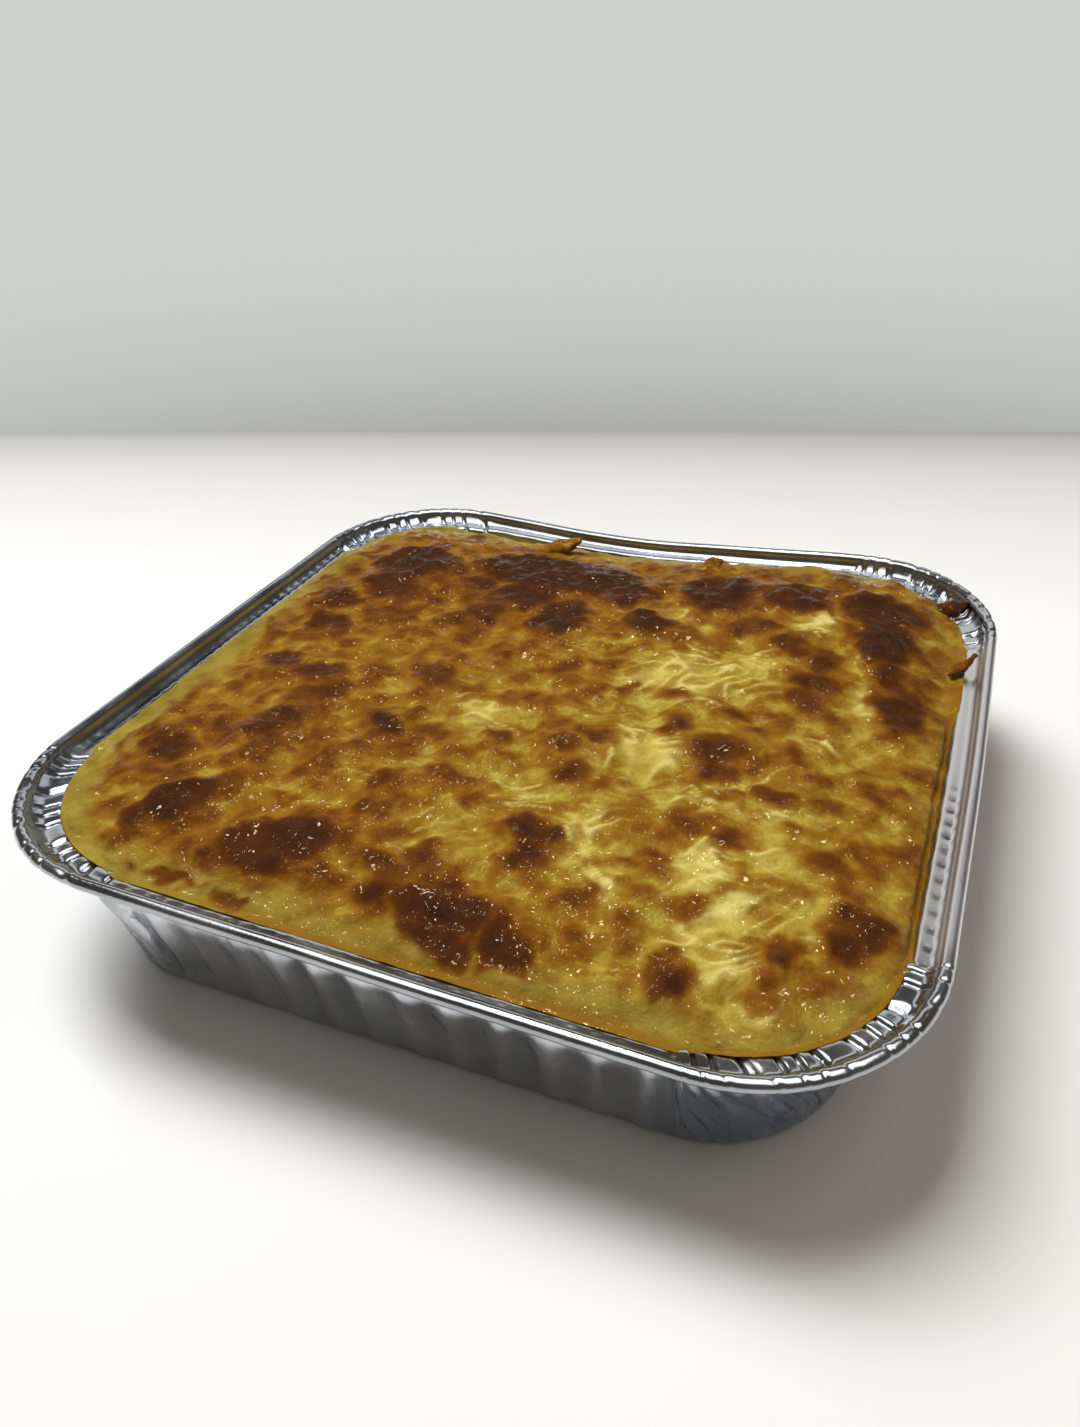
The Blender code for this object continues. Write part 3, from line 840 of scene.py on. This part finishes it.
def dimples(stations, x, y, inset):
    """Small slanting dents in the flange, clear of the corners and of a plain stretch on the right."""
    along = np.where(np.abs(x) > np.abs(y), y, x)
    side = np.floor((stations + CORNER_STEPS / 2) / QUARTER_STEPS) % 4
    closer = DIMPLES_CLOSER_LEFT * (side == LEFT)
    spacing = DIMPLE_SPACING * (1 - closer - DIMPLES_CLOSER_FRONT * (side == FRONT))
    drift = DIMPLE_DRIFT * np.sin(along / DIMPLE_DRIFT_LENGTH)
    phase = along / spacing + drift + side * DIMPLE_SIDE_PHASE
    near = (phase - np.round(phase)) * spacing
    slant = near - DIMPLE_SLANT * (inset - DIMPLE_INSET)
    length = (inset - DIMPLE_INSET) / DIMPLE_LENGTH
    dent = np.exp(-((slant / DIMPLE_WIDTH) ** 2) ** 1.5 - (length**2) ** 1.5)
    plain = (side == RIGHT) * smooth_step(along, *DIMPLES_STOP) + (side == BACK) * DIMPLES_FAINTER_BACK
    keep = (1 - plain) * (1 - corner_share(stations))
    weight = 0.8 + 0.5 * noise_at(np.round(phase), side, 7.7, 1.37)
    return -DIMPLE_DEPTH * dent * keep * weight


def wall_creases(stations, level, corner):
    """Dents and creases of a wall at one level: upright on the sides, leaning and crowded at a corner."""
    dents = streaks(stations, level * 4, 4.4, WALL_DENT_SIZE)
    ridge = (1 - 2 * np.abs(streaks(stations, level, 1.9, CREASE_SIZE))) ** 3
    fold = 1 - 2 * np.abs(streaks(stations, level, 2.4, CORNER_CREASE_SIZE))
    wrinkles = CORNER_WRINKLE_SHARE * streaks(stations, level, 9.4, CORNER_WRINKLE_SIZE)
    sides = CREASE_DEPTH * (ridge + WALL_DENT_SHARE * dents)
    return (1 - corner) * sides + corner * CORNER_CREASE_DEPTH * (fold + wrinkles - 0.5)


def shine(stations, level, corner, flute):
    """How rubbed the outside of a wall is at one level, which also paints it lighter as a highlight: on its
    ribs, in streaks and in scratches, more towards the top.
    """
    on_sides, more_at_corners = STREAK_SHINE
    streak = (on_sides + more_at_corners * corner) * streaks(stations, level, 17.1, STREAK_SIZE)
    streak = RIB_SHINE * flute / FLUTE_DEPTH + streak
    on_sides, more_at_corners = SCRATCH_SHINE
    scratch = (on_sides + more_at_corners * corner) * streaks(stations, level, 19.1, SCRATCH_SIZE)
    lit = SHINE_SHARE * smooth_step(streak + scratch, *SHINE_SPREAD)
    return lit * smooth_step(level, *SHINE_LEVELS)


def foil_section():
    """Points of the foil's section from the middle of its floor outwards, each with its face."""
    inner = offset_path(foil_path(), FOIL)
    hidden = [Vector(place) for place in inner[:3]]
    inside = cut_path(rounded_path(inner[3:]), FLANGE_SPACING, *FLANGE_CUT)
    outside = cut_path(rounded_path(foil_path()), WALL_SPACING, *WALL_CUT)
    section = [(place, INNER_FACE) for place in hidden + inside]
    section += [(place, EDGE_FACE) for place in bead_path()]
    return section + [(place, OUTER_FACE) for place in reversed(outside)]


def make_foil(material):
    """The whole tray in one sheet: floor, fluted walls, dimpled flange, pleated corners, rolled edge."""
    side = np.arange(SIDE_STEPS * SIDE_FINE_STEPS) / SIDE_FINE_STEPS
    bend = SIDE_STEPS + np.arange(CORNER_STEPS * CORNER_FINE_STEPS) / CORNER_FINE_STEPS
    quarter = np.concatenate((side, bend))
    stations = np.concatenate([quarter + turn * QUARTER_STEPS for turn in range(4)])
    count = len(stations)
    corner = corner_share(stations)
    flute = flutes(stations)
    arc_x, arc_y = rim_places(np.zeros(count), stations)
    wave = RIM_WAVE * noise_at(arc_x, arc_y, 5.1, RIM_WAVE_SIZE)
    grain = CRIMP_GRAIN_SHARE * corner * noise_at(arc_x, arc_y, 8.6, CRIMP_GRAIN)
    crimp = noise_at(arc_x, arc_y, 6.6, CRIMP_SIZE) + grain
    rough_left = 0.5 - 0.5 * np.sign(arc_x)
    depth = corner * CRIMP_DEPTH * (0.5 + 0.7 * rough_left) + (1 - corner) * CRIMP_ON_SIDES
    crimp = depth * crimp
    dent = DENT_DEPTH * np.exp(-(((arc_x - DENT_MIDDLE) / DENT_LENGTH) ** 2)) * (arc_y < 0)
    # Painted sheen: where the satin right flange is painted lighter.
    satin_and_painted_sheen = (arc_x > RIM_SIDE / 2 - RIM_CORNER / 2) * (1 - smooth_step(np.abs(arc_y), *SATIN_SHEEN_ENDS))
    # Painted cool reflection: how much the left rim is tinted darker and bluer.
    left_rim_painted_reflection = PAINTED_REFLECTION_RIM_SHARE * smooth_step(-arc_x, *PAINTED_REFLECTION_RIM)
    rows = []
    rubbed_and_painted_sheen = []
    painted_cool_shade = []
    for place, face in foil_section():
        dips = np.zeros(count)
        pleat = PLEAT_RISE * pleats(stations, place.x)
        wall = smooth_step(place.y, *WALL_BEGINS) * (1 - smooth_step(place.y, *WALL_ENDS))
        share = np.interp(place.y, FLUTE_LEVELS, FLUTE_SHARES)
        inset = place.x - share * flute + wall * wall_creases(stations, place.y, corner)
        if face == OUTER_FACE:
            inset = inset - np.interp(place.y, BULGE_LEVELS, BULGE_OUTWARD)
            inset = inset + dent * math.exp(-(((place.y - DENT_LEVEL) / DENT_HEIGHT) ** 2))
        level = np.full(count, place.y)
        if face == EDGE_FACE:
            level = level + wave + crimp + 0.25 * pleat
            inset = inset + 0.8 * crimp - 0.2 * pleat
        else:
            top = smooth_step(place.y, *PLEAT_ON_FLANGE)
            level = level + top * (wave + pleat)
            inset = inset + (1 - top) * smooth_step(place.y, *PLEAT_ON_WALL) * pleat
        if face == INNER_FACE:
            inset = inset + corner * CORNER_SPREAD * smooth_step(place.x, GROOVE_INSET, FLANGE_INSET)
            near_bead = 1 - smooth_step(place.x, GROOVE_INSET, GROOVE_INSET + GROOVE_FILL_WIDTH)
            level = level + (GROOVE_FILL + corner * CORNER_FILL) * near_bead
            dips = dimples(stations, arc_x, arc_y, place.x)
            level = level + top * dips
        x, y = rim_places(inset, stations)
        rows.append(np.stack(handled(x, y, level), axis=1))
        if face == OUTER_FACE:
            # Painted highlight: rubbed streaks on the outside are rougher and painted lighter, most towards
            # the top of the wall.
            rubbed_and_painted_sheen.append(shine(stations, place.y, corner, flute))
            # Painted cool shade: the lower front-right wall is tinted darker and bluer, most near its foot.
            low = 1 - 0.7 * smooth_step(place.y, *PAINTED_SHADE_WALL_LEVELS)
            painted_cool_shade.append(low * smooth_step(arc_x, *PAINTED_SHADE_WALL))
        else:
            # Painted sheen: the right flange is satin, rougher and painted lighter, and its dents are left
            # darker as a painted dark reflection.
            rubbed_and_painted_sheen.append(SATIN_SHEEN_SHARE * satin_and_painted_sheen * (1 + dips / DIMPLE_DEPTH))
            # Painted cool reflection: the left rim is tinted darker and bluer.
            painted_cool_shade.append(left_rim_painted_reflection)
    this = np.arange(count)
    following = (this + 1) % count
    first = np.arange(len(rows) - 1)[:, None] * count
    sides = (first + this, first + following, first + count + following, first + count + this)
    faces = np.stack(sides, axis=-1).reshape(-1, 4).tolist()
    faces.append(tuple(reversed(range(count))))
    faces.append(tuple(range((len(rows) - 1) * count, len(rows) * count)))
    mesh = bpy.data.meshes.new("foil_tray")
    mesh.from_pydata(np.concatenate(rows).tolist(), [], faces)
    add_layers(mesh, {"rubbed_and_painted_sheen": np.concatenate(rubbed_and_painted_sheen), "painted_cool_shade": np.concatenate(painted_cool_shade)})
    tray = new_piece("foil_tray", mesh, material)
    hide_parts("tray")
    return tray


def beyond_edge(x, y):
    """How far a point lies outside the bake's edge, and the way straight out."""
    radius = RIM_CORNER - CORNER_SHRINK * FOOD_INSET
    middle = RIM_SIDE / 2 - FOOD_INSET - radius
    over_x = np.abs(x) - middle
    over_y = np.abs(y) - middle
    round_x = np.maximum(over_x, 0)
    round_y = np.maximum(over_y, 0)
    reach = np.hypot(round_x, round_y)
    away = reach + np.minimum(np.maximum(over_x, over_y), 0) - radius
    in_corner = reach > 0
    out_x = np.where(in_corner, round_x / np.maximum(reach, 1e-9), over_x > over_y)
    out_y = np.where(in_corner, round_y / np.maximum(reach, 1e-9), over_x <= over_y)
    return away, out_x * np.sign(x), out_y * np.sign(y)


def spots(x, y, places, ragged_x, ragged_y, start, end):
    """The strongest of the listed patches at each point, as a tone and as a rise, with ragged outlines.

    A patch fades from start inside its outline to end outside it, in millimetres.
    """
    tone = np.zeros(len(x))
    rise = np.zeros(len(x))
    for middle_x, middle_y, half_length, half_width, turn, strength, *height in places:
        angle = math.radians(turn)
        off_x = (x + ragged_x) / MM - middle_x
        off_y = (y + ragged_y) / MM - middle_y
        along = (off_x * math.cos(angle) + off_y * math.sin(angle)) / half_length
        across = (off_y * math.cos(angle) - off_x * math.sin(angle)) / half_width
        outside = (np.hypot(along, across) - 1) * math.sqrt(half_length * half_width)
        share = 1 - smooth_step(outside, start, end)
        tone = np.maximum(tone, share * strength)
        if height:
            rise = np.maximum(rise, share * height[0] * MM)
    return tone, rise


def food_level(x, y):
    """Level of the bake's top as the solid has it."""
    span = (np.abs(x) ** DOME_ORDER + np.abs(y) ** DOME_ORDER) ** (1 / DOME_ORDER) / DOME_REACH
    level = EDGE_LEVEL + DOME_RISE * (1 - np.minimum(span, 1) ** DOME_FALL)
    for middle_x, middle_y, reach, rise in HEAPS:
        level += rise * MM * np.exp(-((np.hypot(x / MM - middle_x, y / MM - middle_y) / reach) ** 2))
    level += LUMP_RISE * noise_at(x, y, 0, LUMP_SIZE)
    return level + PEBBLE_RISE * noise_at(x, y, 1, PEBBLE_SIZE)


def lip_level(x, y, ragged):
    """Level at which the bake meets the foil: low along the back and the right, on the flange elsewhere."""
    back = smooth_step(y, *BACK_EDGE) * smooth_step(x, *BACK_EDGE_LEFT_END)
    back = back * (1 - 0.6 * smooth_step(x, *BACK_EDGE_RISE))
    beside = 1 - smooth_step(np.abs(y - GAP_MIDDLE), GAP_HALF_LENGTH * 0.7, GAP_HALF_LENGTH)
    right = smooth_step(x, *RIGHT_EDGE) * beside
    drop = np.maximum((LIP_LEVEL - BACK_LIP_LEVEL) * back, (LIP_LEVEL - RIGHT_LIP_LEVEL) * right)
    return LIP_LEVEL - drop + 0.1 * ragged


def ragged_at(x, y, layers):
    """How far the outlines of the patches stray at each place."""
    parts = zip(layers, RAGGED_SIZES, RAGGED_REACHES)
    return sum(noise_at(x, y, layer, size) * reach for layer, size, reach in parts)


def food_fields(x, y, away):
    """Level, browning, mash, cream and oil at each place of the bake's top."""
    ragged_x = ragged_at(x, y, (11.3, 12.7))
    ragged_y = ragged_at(x, y, (13.9, 14.1))
    tone, _ = spots(x, y, BROWNED, ragged_x, ragged_y, *BROWN_FADE)
    halo, rise = spots(x, y, BROWNED, ragged_x * 0.6, ragged_y * 0.6, *HALO_FADE)
    pale, _ = spots(x, y, PALE, ragged_x, ragged_y, *PALE_FADE)
    lumps = noise_at(x, y, 32.2, SOFT_LUMP_SIZE)
    knobs = noise_at(x, y, 33.1, KNOB_SIZE)
    large_curds, small_curds = CURD_SIZES
    curds = domes_at(x + ragged_x * 0.5, y, 0.5, large_curds)
    curds = curds + 0.4 * domes_at(x, y + ragged_y * 0.4, 0.7, small_curds) - 0.75
    flow_x = x + noise_at(x, y, 24.9, STRAND_FLOW_SIZE) * STRAND_FLOW
    flow_y = y + noise_at(x, y, 25.2, STRAND_FLOW_SIZE) * STRAND_FLOW
    strands = np.maximum(ridges_at(flow_x * 0.5, flow_y, 26.6, STRAND_SIZE), 0) ** 3
    mottle = lumps + 0.45 * knobs + 0.3 * curds
    warmth = LEFT_WARMTH * smooth_step(-x - 0.4 * y, *WARMER_LEFT)
    warmth = warmth + BACK_WARMTH * smooth_step(y, *WARMER_BACK)
    cloud = mottle + 0.35 * noise_at(x, y, 31.7, CLOUD_SIZE) + 1.5 * warmth
    cloud = smooth_step(cloud, *CLOUD_SPREAD)
    golden = GOLD_TONE + warmth + (CLOUD_TONE - 0.2 * pale) * cloud
    golden = golden - PALE_TONE * pale - STRAND_TONE * strands
    right = smooth_step(x, *RIGHT_PART) * smooth_step(y, *RIGHT_PART_FRONT)
    margin = smooth_step(away + 0.9 * ragged_x, *PLAIN_MARGIN) * (1 - 0.9 * right)
    golden = golden * (1 - MARGIN_TONE * margin)
    browned = np.maximum(golden, 0.97 * tone + 0.10 * mottle)
    browned = np.maximum(browned, np.minimum(0.62 * halo, 0.5) + 0.08 * mottle)
    mash = margin * (1 - smooth_step(browned, *MASH_ENDS))
    cream = 0.9 * smooth_step(pale + 0.5 * strands + 0.4 * mottle, *CREAM_SPREAD)
    cream = cream * (1 - smooth_step(browned, *CREAM_ENDS))
    beside = 1 - smooth_step(np.abs(y - GAP_MIDDLE), GAP_HALF_LENGTH * 0.3, GAP_HALF_LENGTH)
    lip = ragged_x * 0.12 + noise_at(y, x * 0, 41.2, 12 * MM) * 0.4 * MM
    gap = beside * smooth_step(x + lip, GAP_INSIDE, GAP_OUTSIDE)
    front = smooth_step(away + 0.3 * ragged_x, *OILY_EDGE) * smooth_step(x - y, *OILY_SIDES)
    oil = np.maximum(gap * 0.5, front * 0.8)
    level = food_level(x, y) - GAP_DEPTH * gap
    relief = BLISTER_SHARE * rise + CURD_RISE * curds + SOFT_LUMP_RISE * lumps + KNOB_RISE * knobs
    relief += STRAND_RISE * strands * (1 - tone)
    level += relief * smooth_step(-away, *RELIEF_SHARE)
    rim = smooth_step(away, *LIP_SHARE)
    level += rim * (lip_level(x, y, ragged_x) - level)
    return level, {"browned": browned, "mash": mash, "cream": cream, "oil": oil}


def make_food(material):
    """The bake as one closed piece, its top a fine grid that ends at the foil."""
    cells = int(RIM_SIDE / FOOD_CELL)
    line = (np.arange(cells + 1) / cells - 0.5) * RIM_SIDE
    x, y = [part.ravel() for part in np.meshgrid(line, line)]
    away, out_x, out_y = beyond_edge(x, y)
    corner = np.arange(cells)[:, None] * (cells + 1) + np.arange(cells)[None, :]
    quads = np.stack((corner, corner + 1, corner + cells + 2, corner + cells + 1), axis=-1)
    quads = quads.reshape(-1, 4)
    quads = quads[(away[quads] < 0).any(axis=1)]
    outside = np.maximum(away, 0)
    x = x - out_x * outside
    y = y - out_y * outside
    used, faces = np.unique(quads, return_inverse=True)
    faces = faces.reshape(-1, 4)
    x, y, away = x[used], y[used], np.minimum(away[used], 0)
    real_x, real_y, _ = handled(x, y, np.full(len(x), EDGE_LEVEL))
    level, fields = food_fields(real_x, real_y, away)
    spread = CORNER_SPREAD * smooth_step(np.minimum(np.abs(x), np.abs(y)), *CORNER_FOOD)
    edge = np.interp(level, EDGE_LEVELS, EDGE_INSETS) - FOOD_INSET + spread
    inward = smooth_step(away, *EDGE_TUCK) * edge
    _, out_x, out_y = beyond_edge(x, y)
    top_x, top_y, top_z = handled(x - out_x * inward, y - out_y * inward, level)
    mesh = bpy.data.meshes.new("browned_bake")
    mesh.from_pydata(np.stack((top_x, top_y, top_z), axis=1).tolist(), [], faces.tolist())
    add_layers(mesh, fields)
    shape = bmesh.new()
    shape.from_mesh(mesh)
    before = FOOD_INSET
    for inset, height in SKIRT:
        edges = [edge for edge in shape.edges if edge.is_boundary]
        skirt = bmesh.ops.extrude_edge_only(shape, edges=edges)
        verts = [item for item in skirt["geom"] if isinstance(item, bmesh.types.BMVert)]
        for vert in verts:
            _, way_x, way_y = beyond_edge(np.array([vert.co.x]), np.array([vert.co.y]))
            vert.co.x -= float(way_x[0]) * (inset - before)
            vert.co.y -= float(way_y[0]) * (inset - before)
            vert.co.z = height
        before = inset
    bmesh.ops.contextual_create(shape, geom=[edge for edge in shape.edges if edge.is_boundary])
    bmesh.ops.recalc_face_normals(shape, faces=shape.faces)
    shape.to_mesh(mesh)
    shape.free()
    food = new_piece("browned_bake", mesh, material)
    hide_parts("bake")
    return food


def make_flake(name, foot, tip, width, thickness, tone, material):
    """A ragged lump of crust, blunt at its foot in the bake and narrower at its tip."""
    start = Vector(foot) * MM
    lean = Vector(tip) * MM - start
    upright = lean.to_track_quat("Z", "Y").to_matrix()
    shape = bmesh.new()
    rows = []
    for ring in range(FLAKE_RINGS + 1):
        share = ring / FLAKE_RINGS
        taper = math.sqrt(math.sin(math.pi * (0.08 + 0.88 * share))) * (1 - 0.5 * share)
        row = []
        for step in range(FLAKE_STEPS):
            angle = 2 * math.pi * step / FLAKE_STEPS
            flat = Vector((width * math.cos(angle), thickness * math.sin(angle), 0)) * MM / 2
            spot = start + upright @ (flat * taper + Vector((0, 0, lean.length * share)))
            spot += FLAKE_LUMPS * noise.noise_vector(spot / FLAKE_LUMP_SIZE)
            spot += FLAKE_GRAIN * noise.noise_vector(spot / FLAKE_GRAIN_SIZE)
            row.append(shape.verts.new(spot))
        rows.append(row)
    for lower, upper in zip(rows, rows[1:]):
        for this, following in zip(range(FLAKE_STEPS), [*range(1, FLAKE_STEPS), 0]):
            shape.faces.new((lower[this], lower[following], upper[following], upper[this]))
    shape.faces.new(tuple(reversed(rows[0])))
    shape.faces.new(rows[-1])
    mesh = bpy.data.meshes.new(name)
    shape.to_mesh(mesh)
    shape.free()
    layer = mesh.attributes.new("browned", "FLOAT", "POINT")
    shades = [tone + FLAKE_SHADE * noise.noise(vert.co / FLAKE_SHADE_SIZE) for vert in mesh.vertices]
    layer.data.foreach_set("value", shades)
    return new_piece(name, mesh, material)


# Stage, light and camera


FLOOR_MOTTLE = ((0.3, (0.985, 1.005, 1.015)), (0.7, (1.0, 1.02, 1.03)))
FLOOR_MOTTLE_SIZE = 60 * MM
FLOOR_RAMP_SCALE = -1.6
# The table's own grey is the last stop; the darker greys towards the far edge are painted shade.
FLOOR_TONE_AND_PAINTED_SHADE = (
    (0.0, grey(0.32)),
    (0.016, grey(0.395)),
    (0.067, grey(0.52)),
    (0.11, grey(0.59)),
    (0.18, grey(0.665)),
    (0.25, grey(0.73)),
    (0.32, grey(0.78)),
)


def floor_material():
    """Pale table top, with painted shade that greys it towards its far edge."""
    material, tree, shader, place = new_material("pale_floor")
    mottle = new_noise(tree, place, FLOOR_MOTTLE_SIZE, 3)
    split = new_node(tree, "ShaderNodeSeparateXYZ")
    link(tree, place, split.inputs[0])
    depth = math_node(tree, "MULTIPLY", split.outputs["Y"], FLOOR_RAMP_SCALE)
    # Painted shade: the table top darkens towards its far edge.
    base = new_ramp(tree, depth, FLOOR_TONE_AND_PAINTED_SHADE).outputs["Color"]
    shade = new_ramp(tree, mottle.outputs["Fac"], FLOOR_MOTTLE).outputs["Color"]
    link(tree, mix_colours(tree, 1.0, base, shade, "MULTIPLY"), shader.inputs["Base Color"])
    shader.inputs["Roughness"].default_value = 0.9
    shader.inputs["Specular IOR Level"].default_value = 0.0
    return material


def make_floor():
    """A flat table top whose back edge runs level across the view. Its own Y runs away from the viewer."""
    left = Vector(FLOOR_BACK_LEFT)
    run = Vector(FLOOR_BACK_RIGHT) - left
    middle = left + run / 2
    side = FLOOR_HALF_WIDTH
    places = ((-side, -FLOOR_LENGTH, 0), (side, -FLOOR_LENGTH, 0), (side, 0, 0), (-side, 0, 0))
    mesh = bpy.data.meshes.new("floor")
    mesh.from_pydata(places, [], [(0, 1, 2, 3)])
    mesh.materials.append(floor_material())
    floor = bpy.data.objects.new("floor", mesh)
    bpy.context.scene.collection.objects.link(floor)
    floor.location = (middle.x, middle.y, 0)
    floor.rotation_euler.z = math.atan2(run.y, run.x)


# Wall and air of the studio, by height: 0 straight down, 0.5 level and 1 straight up
STUDIO_TONES = (
    (0.335, (0.41, 0.415, 0.395)),
    (0.355, (0.50, 0.51, 0.485)),
    (0.38, (0.575, 0.59, 0.56)),
    (0.41, (0.605, 0.63, 0.60)),
    (0.49, (0.63, 0.645, 0.615)),
    (0.505, (0.62, 0.635, 0.605)),
    (0.55, (0.12, 0.10, 0.078)),
    (1.0, (0.08, 0.068, 0.055)),
)


def make_world():
    """Grey studio: a pale wall below and level with the eye, and dim air above."""
    world = bpy.data.worlds.new("studio")
    bpy.context.scene.world = world
    world.use_nodes = True
    tree = world.node_tree
    direction = new_node(tree, "ShaderNodeTexCoord").outputs["Generated"]
    split = new_node(tree, "ShaderNodeSeparateXYZ")
    link(tree, direction, split.inputs[0])
    height = math_node(tree, "ADD", math_node(tree, "MULTIPLY", split.outputs["Z"], 0.5), 0.5)
    background = tree.nodes["Background"]
    link(tree, new_ramp(tree, height, STUDIO_TONES).outputs["Color"], background.inputs["Color"])
    background.inputs["Strength"].default_value = 1.0


def add_area(name, place, width, height, watts, colour):
    """A soft light that faces the middle of the tray."""
    lamp = bpy.data.lights.new(name, "AREA")
    lamp.shape = "RECTANGLE"
    lamp.size = width
    lamp.size_y = height
    lamp.energy = watts
    lamp.color = colour
    made = bpy.data.objects.new(name, lamp)
    bpy.context.scene.collection.objects.link(made)
    made.location = place
    made.rotation_euler = (-Vector(place)).to_track_quat("-Z", "Y").to_euler()
    return made


def add_gloss(settings, pieces):
    """A lamp that only shows as a reflection, and only on these pieces."""
    lamp = add_area(*settings)
    lamp.visible_diffuse = False
    receivers = bpy.data.collections.new(lamp.name)
    for piece in pieces:
        receivers.objects.link(piece)
    lamp.light_linking.receiver_collection = receivers


def make_camera():
    """The viewer's place and turn, and a lens of the width that the rim's outline gives."""
    camera = bpy.data.objects.new("camera", bpy.data.cameras.new("camera"))
    bpy.context.scene.collection.objects.link(camera)
    bpy.context.scene.camera = camera
    camera.data.sensor_width = CAMERA_SENSOR
    camera.data.lens = CAMERA_LENS
    camera.data.clip_start = 0.01
    level = math.cos(CAMERA_PITCH)
    ahead = Vector((math.sin(CAMERA_YAW) * level, math.cos(CAMERA_YAW) * level, 0))
    ahead.z = -math.sin(CAMERA_PITCH)
    right = Vector((math.cos(CAMERA_YAW), -math.sin(CAMERA_YAW), 0))
    up = right.cross(ahead)
    turned_right = math.cos(CAMERA_ROLL) * right + math.sin(CAMERA_ROLL) * up
    turned_up = -math.sin(CAMERA_ROLL) * right + math.cos(CAMERA_ROLL) * up
    axes = Matrix((turned_right, turned_up, -ahead)).transposed().to_4x4()
    camera.matrix_world = Matrix.Translation(CAMERA_PLACE) @ axes


def main():
    make_camera()
    foil = foil_material()
    crust = bake_material()
    foil_tray = make_foil(foil)
    food = [make_food(crust)]
    # Without a seed the vector noise would differ with the clock.
    noise.seed_set(FLAKE_SEED)
    for flake in FLAKES:
        food.append(make_flake(*flake, crust))
    make_floor()
    make_world()
    for settings in SOFT_LAMPS:
        add_area(*settings).visible_glossy = False
    for settings in FOOD_LAMPS:
        add_gloss(settings, food)
    for settings in FOIL_LAMPS:
        add_gloss(settings, [foil_tray])
    bpy.context.scene.view_settings.view_transform = "Standard"


main()
